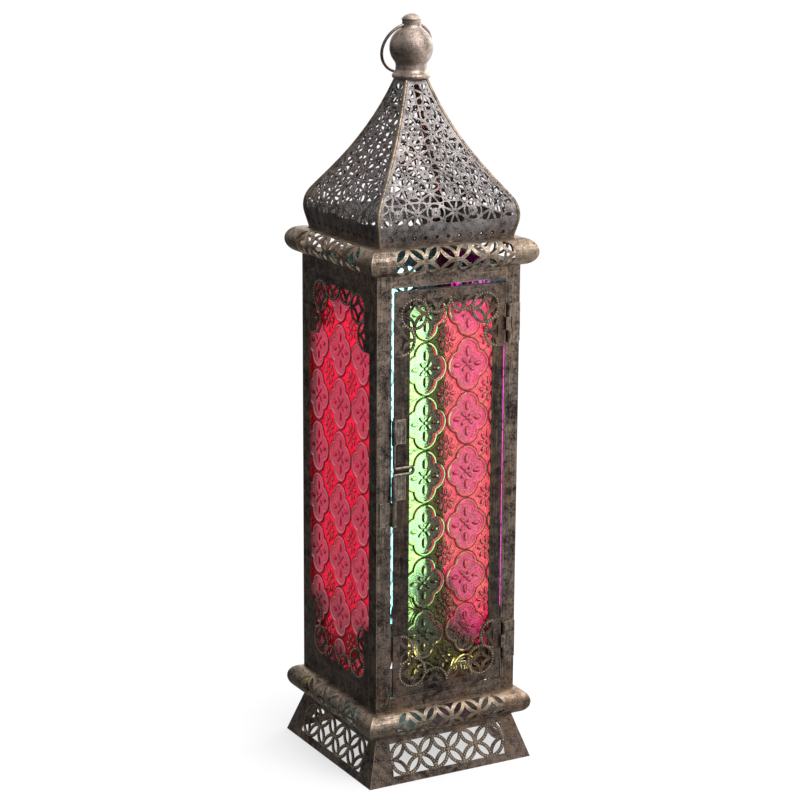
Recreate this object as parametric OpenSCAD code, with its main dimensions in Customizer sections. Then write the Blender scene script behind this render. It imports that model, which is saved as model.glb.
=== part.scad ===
// Tall square fanous lantern of pierced sheet metal and pressed coloured glass.
// Millimetres, +Z up, origin at the bottom centre of the base, door at the front (-Y).

/* [Body] */
// Outside width of the square body
body_w = 110; // [102:1:122]
// Height of the corner posts
body_h = 303.5; // [260:0.5:340]
// Width of each flange of a corner post
post_flange = 11; // [8:0.5:13]
// Thickness of the posts and rails
sheet_t = 1; // [0.8:0.1:1.4]
// Thickness of the pierced sheets
thin_t = 0.8; // [0.6:0.1:1]
// Height of the rail over the door
front_rail_top_h = 8.5; // [6:0.5:10]
// Height of the rail under the door
front_rail_bottom_h = 9; // [7:0.5:10]
// Height of the top rails of the three fixed sides
side_rail_top_h = 10; // [8:0.5:12]
// Height of the bottom rails of the three fixed sides
side_rail_bottom_h = 12.5; // [9:0.5:14]
// Depth of the rails' inward flanges
rail_flange = 6; // [4.5:0.5:8]

/* [Base] */
// How far the skirt's foot stands out past the lower moulding
foot_reach = 0.25; // [-2:0.25:4]
// How far the skirt's top stands in from the body's faces
skirt_inset = 1; // [0.5:0.25:2]
// Height of the skirt
skirt_h = 32; // [28:1:38]
// Pitch of the circles in the skirt
skirt_pitch = 22.4; // [20:0.2:23]
// Width of the metal left between the skirt's openings
skirt_strap = 2.5; // [1.6:0.1:2.8]
// Circles along each skirt
skirt_circles = 4; // [2:1:4]

/* [Mouldings] */
// Radius of the half round mouldings
moulding_r = 9.25; // [8:0.25:10]
// Depth of the flat flanges inside a moulding
moulding_flange = 5; // [4.5:0.5:8]
// Pitch of the circles in the lower moulding
lower_pitch = 22; // [20:0.5:23]
// Pitch of the circles in the upper moulding
upper_pitch = 23.6; // [21:0.2:24]
// Width of the metal left between the mouldings' openings
moulding_strap = 2.4; // [1.6:0.1:2.8]
// Circles along each moulding
moulding_circles = 4; // [2:1:4]

/* [Glass] */
// Thickness of the pressed panes over their ridges
glass_t = 2.5; // [2:0.1:2.9]
// Height of the ridges pressed into the panes
ridge_h = 0.7; // [0.3:0.05:1]
// Width of the ridges round the four lobed motifs
ridge_w = 2; // [1.2:0.1:2.6]
// Spacing of the motifs across a pane
pane_pitch = 32.8; // [32.4:0.1:36]
// Spacing of the motifs up a pane
pane_rise = 37.5; // [37:0.1:42]

/* [Valances] */
// Centreline radius of the circles in a valance
valance_r = 10; // [9:0.25:10.25]
// Width of the metal round the valance's openings
valance_strap = 2; // [1.2:0.1:2.2]
// Height of the plain band along a valance
valance_band = 5.5; // [4:0.5:7]

/* [Door] */
// Gap on the latch side
door_gap_latch = 1.9; // [1:0.1:4]
// Gap under the door
door_gap_bottom = 1.2; // [0.8:0.1:3]
// Gap over the door
door_gap_top = 2.9; // [1:0.1:6]
// Gap on the hinge side
door_gap_hinge = 1.3; // [0.8:0.1:1.5]
// Width of the stile on the latch side
stile_latch_w = 12; // [9:0.5:13]
// Width of the stile on the hinge side
stile_hinge_w = 8.5; // [8:0.5:12]
// Depth of the door's folded channels
door_depth = 4.5; // [4.5:0.1:6]
// Height of the door's top and bottom rails
door_rail_h = 10; // [8:0.5:12]

/* [Hinges] */
// Length of each hinge
hinge_l = 26.5; // [22:0.5:32]
// Radius of the hinge knuckles
knuckle_r = 1.5; // [1.4:0.05:1.7]
// Radius of the hinge pins
pin_r = 0.7; // [0.5:0.05:0.9]
// Height of the lower hinge's middle over the door's bottom
hinge_low = 27; // [20:1:60]
// Distance of the upper hinge's middle below the door's top
hinge_high = 28; // [20:0.5:60]

/* [Latch] */
// Radius of the bolt's wire
bolt_r = 1.1; // [0.9:0.05:1.3]
// Outside radius of the barrels that the bolt slides in
barrel_r = 1.8; // [1.6:0.05:2.1]
// Length of each barrel
barrel_l = 16.8; // [12:0.2:18]
// Height of the loop's middle over the door's bottom
loop_height = 160.3; // [80:0.1:200]
// Travel of the bolt
bolt_travel = 15; // [8:0.5:15]
// Reach of the loop from the bolt to its bend
loop_reach = 12.5; // [8:0.5:18]

/* [Roof] */
// How far the roof's foot stands in from the body's faces
roof_inset = 4; // [3:0.5:6]
// Half width of the roof at the finial
roof_top_half = 8.1; // [7.5:0.1:9]
// Height of the plain band at the roof's foot, along the sheet
roof_band = 10; // [8:0.5:12]
// Radius of the bulge over the band
bulge_r = 22; // [20:0.5:24]
// Radius of the hollow curve up to the finial
hollow_r = 230; // [215:1:240]
// Straight stretch between the hollow curve and the finial
roof_neck = 1.05; // [0.5:0.05:3]
// Pitch of the motifs in the roof
motif_pitch = 14.15; // [13:0.05:15]
// Sideways shift of the roof's pattern
motif_shift = 4; // [-6:0.5:6]
// Width of the beads that cover the hips
bead_w = 2.4; // [2:0.1:3]

/* [Finial] */
// Radius of the finial's ball
ball_r = 14.8; // [13:0.1:16]
// Height of the finial up to its collar's rim
finial_h = 38.6; // [36.5:0.1:42]
// Radius of the finial's neck
neck_r = 10.6; // [9:0.1:11]
// Radius of the hollow curve between the ball and the collar
top_fillet = 4; // [2:0.5:5]
// Radius of the hollow curve between the ball and the neck
neck_fillet = 4; // [2:0.5:5]
// Radius of the finial's foot flange
finial_flange_r = 13.1; // [12.6:0.1:14]
// Radius of the collar that the ring hangs in
collar_r = 6.3; // [5.8:0.1:7]
// Wall of the spun finial
finial_t = 1; // [0.8:0.1:1.2]
// Rim radius of the cap on the collar
cap_r = 6.8; // [6.5:0.1:7.5]

/* [Ring] */
// Centreline radius of the carrying ring
ring_r = 18.4; // [18:0.1:20]
// Radius of the ring's wire
ring_wire_r = 1.05; // [0.8:0.05:1.1]
// Lean of the hanging ring to the back
ring_lean = 23.5; // [23:0.5:40]

/* [Hidden] */
$fn = 48;

// Colours
BRONZE = [0.36, 0.31, 0.26];
OLD_BRASS = [0.55, 0.47, 0.33];
SILVERED = [0.5, 0.48, 0.46];
RUBY = [0.78, 0.05, 0.14, 0.6];
TURQUOISE = [0.55, 0.9, 0.88, 0.6];
MAGENTA = [0.8, 0.15, 0.65, 0.6];
AMBER = [0.9, 0.75, 0.2, 0.6];

// Heights of the main pieces
lower_z = skirt_h + moulding_r;
body_z = skirt_h + 2 * moulding_r;
body_top = body_z + body_h;
upper_z = body_top + moulding_r;
roof_z = body_top + 2 * moulding_r;
body_half = body_w / 2;
foot_w = body_w + 2 * (moulding_r + foot_reach);
skirt_top_w = body_w - 2 * skirt_inset;

// Clearances and one overrun for every cut
fit_gap = 0.2;
run_gap = 0.05;
seat_gap = 0.3;
cut = 3;

// Gap at the corners between neighbouring panes, and how the motifs stand in each pane
pane_corner_gap = 0.5;
side_border = 6;
side_shift = [-0.9, 17.3];
door_border = 5;
door_shift = [14.2, 12];

// The square frame's openings
opening_half = body_half - post_flange;
front_open_low = body_z + front_rail_bottom_h;
front_open_high = body_top - front_rail_top_h;
side_open_low = body_z + side_rail_bottom_h;
side_open_high = body_top - side_rail_top_h;

// The door
door_right = opening_half - door_gap_hinge;
door_left = door_gap_latch - opening_half;
door_w = door_right - door_left;
door_low = front_open_low + door_gap_bottom;
door_high = front_open_high - door_gap_top;
door_back = -body_half + door_depth;
lip = 7;

// The hinges: the pin stands in front of the post's edge
hinge_x = opening_half + knuckle_r;
hinge_y = -body_half - knuckle_r - seat_gap;
hinge_zs = [door_low + hinge_low, door_high - hinge_high];
knuckle_gap = 0.2;
leaf_t = 0.7;

// The latch: barrels and bolt stand in front of the gap beside the door
latch_x = -opening_half + bolt_r;
latch_y = -body_half - barrel_r - seat_gap;
loop_z = door_low + loop_height;
loop_bend_r = bolt_r * 2;
guide_low_top = loop_z - loop_bend_r - bolt_r - seat_gap;
guide_high_low = loop_z + loop_bend_r + bolt_r + bolt_travel + seat_gap;
keeper_top = guide_low_top - barrel_l - barrel_r / 2;
bolt_low = keeper_top - bolt_travel + bolt_r;
bolt_high = guide_high_low + barrel_l + bolt_r * 2;
guide_leaf = 9.6;
keeper_leaf = 10;

// Places one side's piece, drawn for the front, on side number i
module on_side(i) {
    rotate([0, 0, 90 * i])
        children();
}

// The wedge of space that belongs to the front, cut back by back_off at the corners
module mitre_wedge(reach, z0, z1, back_off = 0) {
    translate([0, 0, z0])
        linear_extrude(z1 - z0)
            polygon([[0, -back_off * sqrt(2)], [reach, -reach - back_off * sqrt(2)],
                [-reach, -reach - back_off * sqrt(2)]]);
}

// Extrudes a section drawn as (outward minus, up) along the front of the lantern
module along_front(length) {
    rotate([90, 0, 90])
        linear_extrude(length, center = true)
            children();
}

// Pointed oval between two circles of radius r whose centres are d apart
module petal(r, d) {
    intersection() {
        translate([-d / 2, 0])
            circle(r);
        translate([d / 2, 0])
            circle(r);
    }
}

// Concave diamond at the middle of a circle of the lattice
module diamond(p, strap) {
    difference() {
        square(p, center = true);
        for (x = [-1, 1], y = [-1, 1])
            translate([x * p / 2, y * p / 2])
                circle((p + strap) / 2);
    }
}

// Half of that diamond, the half that lies below its middle
module half_diamond(p, strap) {
    intersection() {
        diamond(p, strap);
        translate([-p / 2, -p])
            square(p);
    }
}

// Petals at the given angles round the middle of a circle
module petals(p, strap, angles) {
    for (a = angles)
        rotate(a)
            translate([p * sqrt(2) / 4, 0])
                petal((p - strap) / 2, p * sqrt(2) / 2);
}

// Places of the circles along a strip
function circle_xs(n, p) = [for (i = [0:n - 1]) (i - (n - 1) / 2) * p];
function between_xs(n, p) = [for (i = [1:n - 1]) (i - n / 2) * p];

// Openings of a flat strip of circle lattice, one circle high
module lattice_strip(n, p, strap) {
    for (x = circle_xs(n, p))
        translate([x, 0]) {
            diamond(p, strap);
            petals(p, strap, [45, 135, 225, 315]);
        }
    for (x = between_xs(n, p)) {
        translate([x, p / 2])
            half_diamond(p, strap);
        translate([x, -p / 2])
            rotate(180)
                half_diamond(p, strap);
    }
    for (side = [0, 1], up = [0, 1])
        mirror([side, 0])
            mirror([0, up])
                translate([-n * p / 2, p / 2])
                    intersection() {
                        half_diamond(p, strap);
                        translate([0, -p])
                            square(p);
                    }
}

// Base skirt: four sloping pierced sheets
skirt_slope = atan((foot_w - skirt_top_w) / 2 / skirt_h);
skirt_length = skirt_h / cos(skirt_slope);
skirt_level_t = thin_t / cos(skirt_slope);

module skirt_panel() {
    difference() {
        intersection() {
            along_front(foot_w)
                polygon([[-foot_w / 2, 0], [-skirt_top_w / 2, skirt_h],
                    [-skirt_top_w / 2 + skirt_level_t, skirt_h], [-foot_w / 2 + skirt_level_t, 0]]);
            mitre_wedge(foot_w, 0, skirt_h);
        }
        translate([0, -foot_w / 2, 0])
            rotate([90 - skirt_slope, 0, 0])
                translate([0, skirt_length / 2, -cut])
                    linear_extrude(2 * cut)
                        lattice_strip(skirt_circles, skirt_pitch, skirt_strap);
    }
}

module skirt(i) {
    color(BRONZE)
        on_side(i)
            skirt_panel();
}

// Plain plate that the candle stands on, laid on the lower moulding's inner flanges
plate_half = body_half - moulding_flange / 3;

module floor_plate() {
    color(BRONZE)
        translate([-plate_half, -plate_half, skirt_h + thin_t])
            cube([2 * plate_half, 2 * plate_half, thin_t]);
}

// Half round moulding with flat flanges turned inwards at its top and bottom
module moulding_section() {
    difference() {
        circle(moulding_r);
        circle(moulding_r - thin_t);
        translate([0, -2 * moulding_r])
            square(4 * moulding_r);
    }
    for (y = [-moulding_r, moulding_r - thin_t])
        translate([-thin_t, y])
            square([moulding_flange + thin_t, thin_t]);
}

// Openings cut square to the moulding's skin, at an angle above the horizontal
module skin_cut(angle) {
    rotate([90 - angle, 0, 0])
        translate([0, 0, moulding_r / 2])
            linear_extrude(moulding_r)
                children();
}

module moulding_piece(p, strap, n) {
    petal_angle = p / 4 / moulding_r * 180 / PI;
    translate([0, -body_half, 0])
        difference() {
            intersection() {
                along_front(body_w + 4 * moulding_r)
                    moulding_section();
                translate([0, body_half, 0])
                    mitre_wedge(body_w, -2 * moulding_r, 2 * moulding_r);
            }
            skin_cut(0)
                for (x = circle_xs(n, p))
                    translate([x, 0])
                        diamond(p, strap);
            for (side = [-1, 1]) {
                skin_cut(side * petal_angle)
                    for (x = circle_xs(n, p), dx = [-1, 1])
                        translate([x + dx * p / 4, 0])
                            rotate(dx * side * 45)
                                petal((p - strap) / 2, p * sqrt(2) / 2);
                skin_cut(side * petal_angle * 2)
                    for (x = between_xs(n, p))
                        translate([x, 0])
                            rotate(90 - side * 90)
                                half_diamond(p, strap);
            }
        }
}

module lower_moulding(i) {
    color(OLD_BRASS)
        on_side(i)
            translate([0, 0, lower_z])
                moulding_piece(lower_pitch, moulding_strap, moulding_circles);
}

module upper_moulding(i) {
    color(OLD_BRASS)
        on_side(i)
            translate([0, 0, upper_z])
                moulding_piece(upper_pitch, moulding_strap, moulding_circles);
}

// Corner post of angle strip, drawn for the front left corner
module corner_post(i) {
    color(BRONZE)
        on_side(i)
            translate([-body_half, -body_half, body_z])
                linear_extrude(body_h)
                    polygon([[0, 0], [post_flange, 0], [post_flange, sheet_t], [sheet_t, sheet_t],
                        [sheet_t, post_flange], [0, post_flange]]);
}

// Rail of angle strip between two posts; up is 1 for a top rail and 0 for a bottom rail
module rail(i, h, up) {
    low = up == 1 ? body_top - h : body_z;
    flange_z = up == 1 ? body_top - sheet_t : body_z;
    color(BRONZE)
        on_side(i)
            translate([-opening_half, -body_half, 0]) {
                translate([0, 0, low])
                    cube([2 * opening_half, sheet_t, h]);
                translate([0, 0, flange_z])
                    cube([2 * opening_half, rail_flange, sheet_t]);
            }
}

// Pressed pane: a slab with a ridge round each four lobed motif and a cross of drops inside it.
// Lobes stand up and aside of the middle; places and radii are shares of the motifs' spacing.
lobe_up_share = 0.248;
lobe_up_r_share = 0.244;
lobe_side_share = 0.182;
lobe_side_r_share = 0.278;

// Drops are petals of circles: places, radii and spacings, again as shares
drop_up_shares = [0.25, 0.108, 0.125];
drop_side_shares = [0.23, 0.1, 0.1];

module four_lobes(grow) {
    for (side = [-1, 1]) {
        translate([0, side * lobe_up_share * pane_rise])
            circle(lobe_up_r_share * pane_pitch + grow);
        translate([side * lobe_side_share * pane_pitch, 0])
            circle(lobe_side_r_share * pane_pitch + grow);
    }
}

module pane_motif() {
    difference() {
        four_lobes(ridge_w / 2);
        four_lobes(-ridge_w / 2);
    }
    for (side = [-1, 1]) {
        translate([0, side * drop_up_shares[0] * pane_rise])
            petal(drop_up_shares[1] * pane_pitch, drop_up_shares[2] * pane_pitch);
        translate([side * drop_side_shares[0] * pane_pitch, 0])
            rotate(90)
                petal(drop_side_shares[1] * pane_pitch, drop_side_shares[2] * pane_pitch);
    }
}

// A pane of the given size, drawn standing with its ridges to the front and its foot at the origin
module pressed_pane(w, h, border, shift) {
    columns = ceil((w / 2 + abs(shift[0])) / pane_pitch);
    rows = ceil((h / 2 + abs(shift[1])) / pane_rise);
    translate([-w / 2, ridge_h, 0])
        cube([w, glass_t - ridge_h, h]);
    translate([0, 0, h / 2])
        rotate([90, 0, 0])
            translate([0, 0, -ridge_h])
                linear_extrude(ridge_h)
                    intersection() {
                        square([w - 2 * border, h - 2 * border], center = true);
                        for (i = [-columns:columns], j = [-rows:rows])
                            translate([i * pane_pitch + shift[0], j * pane_rise + shift[1]])
                                pane_motif();
                    }
}

// Fixed pane, held between the posts' flanges and the clips
pane_low = body_z + sheet_t;
pane_high = body_top - sheet_t - fit_gap;
glass_w = body_w - 2 * (sheet_t + glass_t + pane_corner_gap);

module fixed_pane(i) {
    on_side(i)
        translate([0, -body_half + sheet_t, pane_low])
            pressed_pane(glass_w, pane_high - pane_low, side_border, side_shift);
}

module glass_left() {
    color(RUBY)
        fixed_pane(3);
}

module glass_back() {
    color(TURQUOISE)
        fixed_pane(2);
}

module glass_right() {
    color(MAGENTA)
        fixed_pane(1);
}

// Small bent clips on the rails' flanges that hold the three fixed panes
clip_w = 8;
clip_h = 5;
clip_foot = rail_flange - sheet_t - glass_t + clip_h / 3;
clip_x = body_half / 2;

module clip() {
    translate([-clip_w / 2, -body_half + sheet_t + glass_t, 0]) {
        cube([clip_w, thin_t, clip_h]);
        cube([clip_w, clip_foot, thin_t]);
    }
}

module glass_clips() {
    color(BRONZE)
        for (i = [1:3], x = [-clip_x, clip_x])
            on_side(i)
                translate([x, 0, 0]) {
                    translate([0, 0, pane_low])
                        clip();
                    translate([0, 0, body_top - sheet_t])
                        mirror([0, 0, 1])
                            clip();
                }
}

// Stamped valance: a chain of tangent circles along a band and down two legs
chain_half = (1 + 2 * cos(30) + 2 * cos(60)) * valance_r;
chain_top = [valance_r, -valance_band];
chain_corner = chain_top + 2 * valance_r * [cos(30), -sin(30)];
chain_side = chain_corner + 2 * valance_r * [cos(60), -sin(60)];
valance_rim = valance_r + valance_strap / 2;
valance_p = 2 * valance_r;

valance_low = chain_side[1] - valance_r - valance_strap / 4;

module chain_circles() {
    for (c = [chain_top, chain_corner, chain_side], side = [-1, 1])
        translate([side * c[0], c[1]])
            circle(valance_rim);
}

// The space between the two legs, bounded by the chain
module valance_window() {
    difference() {
        polygon([[-chain_top[0], chain_top[1]], chain_top, chain_corner, chain_side,
            [chain_half, valance_low - cut], [-chain_half, valance_low - cut],
            [-chain_side[0], chain_side[1]], [-chain_corner[0], chain_corner[1]]]);
        chain_circles();
    }
}

module valance_openings() {
    translate(chain_top) {
        petals(valance_p, valance_strap, [225, 315]);
        half_diamond(valance_p, valance_strap);
    }
    translate(chain_corner) {
        petals(valance_p, valance_strap, [45, 135, 225, 315]);
        diamond(valance_p, valance_strap);
    }
    translate(chain_side) {
        petals(valance_p, valance_strap, [135, 225]);
        rotate(-90)
            half_diamond(valance_p, valance_strap);
    }
}

module valance_sheet(w) {
    rotate([90, 0, 0])
        translate([0, 0, -thin_t])
            difference() {
                translate([-w / 2, valance_low, 0])
                    cube([w, -valance_low, thin_t]);
                translate([0, 0, -cut])
                    linear_extrude(thin_t + 2 * cut) {
                        valance_window();
                        valance_openings();
                        mirror([1, 0, 0])
                            valance_openings();
                    }
            }
}

// Valances of the fixed sides stand between the posts, in front of the pane
module side_valance(i, up) {
    color(BRONZE)
        on_side(i)
            translate([0, -body_half, up == 1 ? side_open_high : side_open_low])
                mirror([0, 0, 1 - up])
                    valance_sheet(2 * opening_half);
}

// Roof: the sheet's outline as half width and height, going up from the foot.
// A lean is the sheet's tilt inwards from upright.
foot_lean = -14;
bulge_lean = 36;
top_lean = 18.5;
arc_steps = 8;

function along(lean) = [-sin(lean), cos(lean)];
function outward(lean) = [cos(lean), sin(lean)];

roof_half = body_half - roof_inset;
roof_foot = [roof_half, roof_z];
band_end = roof_foot + roof_band * along(foot_lean);
bulge_centre = band_end - bulge_r * outward(foot_lean);
bulge_end = bulge_centre + bulge_r * outward(bulge_lean);

// The straight stretch above the bulge is as long as the roof's width leaves it
hollow_in = hollow_r * (cos(top_lean) - cos(bulge_lean)) + roof_neck * sin(top_lean);
roof_straight = (bulge_end[0] - hollow_in - roof_top_half) / sin(bulge_lean);
straight_end = bulge_end + roof_straight * along(bulge_lean);
hollow_centre = straight_end + hollow_r * outward(bulge_lean);
hollow_end = hollow_centre - hollow_r * outward(top_lean);
roof_top = hollow_end + roof_neck * along(top_lean);
finial_z = roof_top[1];

function steps(a, b) = [for (i = [0:arc_steps]) a + (b - a) * i / arc_steps];

// Leans and points of the outer skin, in order from the foot to the finial
roof_leans = concat([foot_lean], steps(foot_lean, bulge_lean), steps(bulge_lean, top_lean), [top_lean]);
roof_points = concat([roof_foot - cut * along(foot_lean)],
    [for (a = steps(foot_lean, bulge_lean)) bulge_centre + bulge_r * outward(a)],
    [for (a = steps(bulge_lean, top_lean)) hollow_centre - hollow_r * outward(a)],
    [roof_top + cut * along(top_lean)]);
roof_count = len(roof_points);

// Place on the outer skin at a distance s along the sheet: half width, height, lean
bulge_turn = bulge_lean - foot_lean;
s_bulge = roof_band + bulge_r * bulge_turn * PI / 180;
s_straight = s_bulge + roof_straight;

function arc_deg(length, r) = length / r * 180 / PI;
function roof_lean(s) =
    s < roof_band ? foot_lean
    : s < s_bulge ? foot_lean + arc_deg(s - roof_band, bulge_r)
    : s < s_straight ? bulge_lean
    : max(top_lean, bulge_lean - arc_deg(s - s_straight, hollow_r));
function roof_point(s) =
    s < roof_band ? roof_foot + s * along(foot_lean)
    : s < s_bulge ? bulge_centre + bulge_r * outward(roof_lean(s))
    : s < s_straight ? bulge_end + (s - s_bulge) * along(bulge_lean)
    : hollow_centre - hollow_r * outward(bulge_lean - arc_deg(s - s_straight, hollow_r));

// Motifs of the roof, sized as shares of their pitch: an eight petalled daisy and a ringed boss
hub_share = 0.055;
round_petal_share = 0.148;
round_petal_at_share = 0.516;
petal_root_share = 0.144;
wedge_shares = [0.125, 0.54, 0.205];
ring_share = 0.495;
boss_shares = [0.75, 0.42, 0.24];
dot_shares = [0.046, 0.56];
row_shares = [0.8, 0.6];
DIAGONALS = [45, 135, 225, 315];
AXES = [0, 90, 180, 270];

module daisy(q) {
    circle(q * hub_share);
    for (a = DIAGONALS)
        rotate(a) {
            translate([q * round_petal_at_share, 0])
                circle(q * round_petal_share);
            polygon([[q * wedge_shares[0], 0],
                [q * round_petal_at_share, -q * petal_root_share],
                [q * round_petal_at_share, q * petal_root_share]]);
        }
    for (a = AXES)
        rotate(a)
            difference() {
                polygon([[q * wedge_shares[0], 0], [q * wedge_shares[1], -q * wedge_shares[2]],
                    [q * wedge_shares[1], q * wedge_shares[2]]]);
                translate([q, 0])
                    circle(q * ring_share);
            }
}

module ringed_boss(q) {
    circle(q * hub_share);
    for (a = AXES)
        rotate(a)
            difference() {
                intersection() {
                    circle(q * boss_shares[1]);
                    polygon([[0, 0], [q, -q * boss_shares[0]], [q, q * boss_shares[0]]]);
                }
                circle(q * boss_shares[2]);
            }
    for (a = DIAGONALS)
        rotate(a)
            translate([q * dot_shares[1], 0])
                circle(q * dot_shares[0]);
}

// Rows of motifs climb the sheet one pitch apart and stop short of the hips
motif_first = roof_band + motif_pitch * row_shares[0];
motif_last = motif_pitch * row_shares[1];
hip_border = bead_w;
roof_length = s_straight + hollow_r * (bulge_lean - top_lean) * PI / 180;
motif_rows = floor((roof_length - motif_last - motif_first) / motif_pitch);
motif_reach = ceil(roof_half / motif_pitch) + 1;

module motif_row(row) {
    s = motif_first + row * motif_pitch;
    lean = roof_lean(s);
    at = roof_point(s);
    half = motif_pitch / 2;
    border = hip_border * sqrt(2);
    low_w = at[0] + half * sin(lean) - border;
    high_w = at[0] - half * sin(lean) - border;
    translate([0, -at[0], at[1]])
        rotate([90 - lean, 0, 0])
            translate([0, 0, -cut])
                linear_extrude(2 * cut)
                    intersection() {
                        polygon([[-low_w, -half], [low_w, -half], [high_w, half], [-high_w, half]]);
                        for (i = [-motif_reach:motif_reach])
                            translate([i * motif_pitch + motif_shift, 0])
                                if ((i + row) % 2 == 0)
                                    daisy(motif_pitch);
                                else
                                    ringed_boss(motif_pitch);
                    }
}

// Small round holes along the plain band at the roof's foot
band_holes = 11;
band_hole_r = 0.7;
band_hole_shares = [0.45, 0.92];

module band_hole_row() {
    at = roof_point(roof_band * band_hole_shares[0]);
    pitch = 2 * roof_half * band_hole_shares[1] / band_holes;
    translate([0, -at[0], at[1]])
        rotate([90 - foot_lean, 0, 0])
            translate([0, 0, -cut])
                linear_extrude(2 * cut)
                    for (x = circle_xs(band_holes, pitch))
                        translate([x, 0])
                            circle(band_hole_r);
}

module roof_panel(i) {
    color(SILVERED)
        on_side(i)
            difference() {
                intersection() {
                    along_front(4 * roof_half)
                        polygon(concat(
                            [for (k = [0:roof_count - 1]) [-roof_points[k][0], roof_points[k][1]]],
                            [for (k = [roof_count - 1:-1:0])
                                let (p = roof_points[k] - thin_t * outward(roof_leans[k])) [-p[0], p[1]]]));
                    mitre_wedge(2 * roof_half, roof_z, finial_z, bead_w / 2);
                }
                for (row = [0:motif_rows])
                    motif_row(row);
                band_hole_row();
            }
}

// Folded bead over each hip: an eight sided section carried up the hip's curve
bead_sink = thin_t * 2 + bead_w / 2;
bead_rise = bead_w / 4;
bead_shares = [[-0.5, 0], [0.5, 0], [0.5, 0.7], [0.32, 0.93],
    [0.1, 1], [-0.1, 1], [-0.32, 0.93], [-0.5, 0.7]];
bead_corners = len(bead_shares);
bead_path = concat([[roof_foot, foot_lean]],
    [for (k = [1:roof_count - 2]) [roof_points[k], roof_leans[k]]],
    [[roof_top, top_lean]]);

function bead_ring(at, lean) =
    let (n = outward(lean), scale_n = norm([n[0], sqrt(2) * n[1]]), height = bead_sink + bead_rise)
    [for (c = bead_shares)
        let (v = c[1] * height - bead_sink, h = at[0] * sqrt(2) + v * n[0] / scale_n)
        [c[0] * bead_w, -h, at[1] + v * sqrt(2) * n[1] / scale_n]];

module hip_bead(i) {
    rings = len(bead_path);
    points = [for (b = bead_path) each bead_ring(b[0], b[1])];
    sides = [for (k = [0:rings - 2], c = [0:bead_corners - 1])
        let (d = (c + 1) % bead_corners)
        [k * bead_corners + c, k * bead_corners + d,
            (k + 1) * bead_corners + d, (k + 1) * bead_corners + c]];
    first = [for (c = [bead_corners - 1:-1:0]) c];
    last = [for (c = [0:bead_corners - 1]) (rings - 1) * bead_corners + c];
    color(OLD_BRASS)
        on_side(i)
            rotate([0, 0, -45])
                intersection() {
                    polyhedron(points, concat(sides, [first], [last]));
                    translate([-body_w, -body_w, roof_z])
                        cube([2 * body_w, 2 * body_w, finial_z - roof_z]);
                }
}

// Spun finial: foot flange, neck, ball and collar in one hollow piece
flange_edge_r = 2;
neck_high = 10.4;
ball_rise = 20.8;
ball_z = finial_z + ball_rise;
collar_top = finial_z + finial_h;
collar_bore = collar_r - finial_t;
foot_bore = neck_r - 4 * finial_t;

// The ring's wire passes through two holes in the collar
ring_hole_gap = 0.55;
ring_hole_below = 2.6;
ring_hole_r = ring_wire_r + ring_hole_gap;
ring_pivot_z = collar_top - ring_hole_below;
ring_drop = sqrt(pow(ring_r, 2) - pow(collar_r - finial_t / 2, 2));

// Height over the ball's middle of a hollow curve of radius f that meets the ball and a tube of radius r
function fillet_rise(f, r) = sqrt(pow(ball_r + f, 2) - pow(r + f, 2));

// Fills the groove between a round of radius r, whose middle is at, and a tube with a hollow curve.
// The curve bites a hair into both.
fillet_bite = 0.02;

module groove_fill(at, r, middle, f) {
    tip = at + (middle - at) * (r - finial_t / 2) / (r + f);
    inner = middle[0] - f - finial_t / 2;
    difference() {
        polygon([middle, [inner, middle[1]], [inner, tip[1]], tip]);
        translate(middle)
            circle(f + fillet_bite);
    }
}

module finial_outline() {
    foot_middle = [neck_r + neck_fillet,
        finial_z + flange_edge_r + sqrt(pow(flange_edge_r + neck_fillet, 2)
            - pow(neck_r + neck_fillet - finial_flange_r + flange_edge_r, 2))];
    groove_fill([0, ball_z], ball_r,
        [collar_r + top_fillet, ball_z + fillet_rise(top_fillet, collar_r)], top_fillet);
    groove_fill([finial_flange_r - flange_edge_r, finial_z + flange_edge_r], flange_edge_r,
        foot_middle, neck_fillet);
    translate([0, finial_z]) {
        translate([0, thin_t])
            square([neck_r, neck_high]);
        square([finial_flange_r - flange_edge_r, 2 * flange_edge_r]);
        translate([finial_flange_r - flange_edge_r, flange_edge_r])
            circle(flange_edge_r);
    }
    translate([0, ball_z])
        circle(ball_r);
    translate([0, ball_z])
        square([collar_r, collar_top - ball_z]);
}

module finial_hollow() {
    translate([0, finial_z - cut])
        square([foot_bore, neck_high]);
    translate([0, finial_z + 2 * finial_t])
        square([neck_r - finial_t, neck_high - finial_t]);
    translate([0, ball_z])
        circle(ball_r - finial_t);
    translate([0, ball_z])
        square([collar_bore, collar_top - ball_z + cut]);
}

// The hollow curve between the ball and the neck
module neck_fill() {
    difference() {
        groove_fill([0, ball_z], ball_r,
            [neck_r + neck_fillet, ball_z - fillet_rise(neck_fillet, neck_r)], neck_fillet);
        finial_hollow();
    }
}

module finial() {
    color(OLD_BRASS)
        difference() {
            union() {
                rotate_extrude()
                    neck_fill();
                rotate_extrude()
                    intersection() {
                        difference() {
                            finial_outline();
                            finial_hollow();
                        }
                        translate([0, finial_z - cut])
                            square([2 * ball_r, collar_top - finial_z + 2 * cut]);
                    }
            }
            translate([-2 * collar_r, 0, ring_pivot_z])
                rotate([0, 90, 0])
                    cylinder(r = ring_hole_r, h = 4 * collar_r);
        }
}

// Domed cap on the collar
cap_rim_h = 1.2;
cap_dome_h = 3.6;
cap_dome_r = (pow(cap_r, 2) + pow(cap_dome_h, 2)) / 2 / cap_dome_h;
cap_rim_z = collar_top + cap_rim_h;

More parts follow.
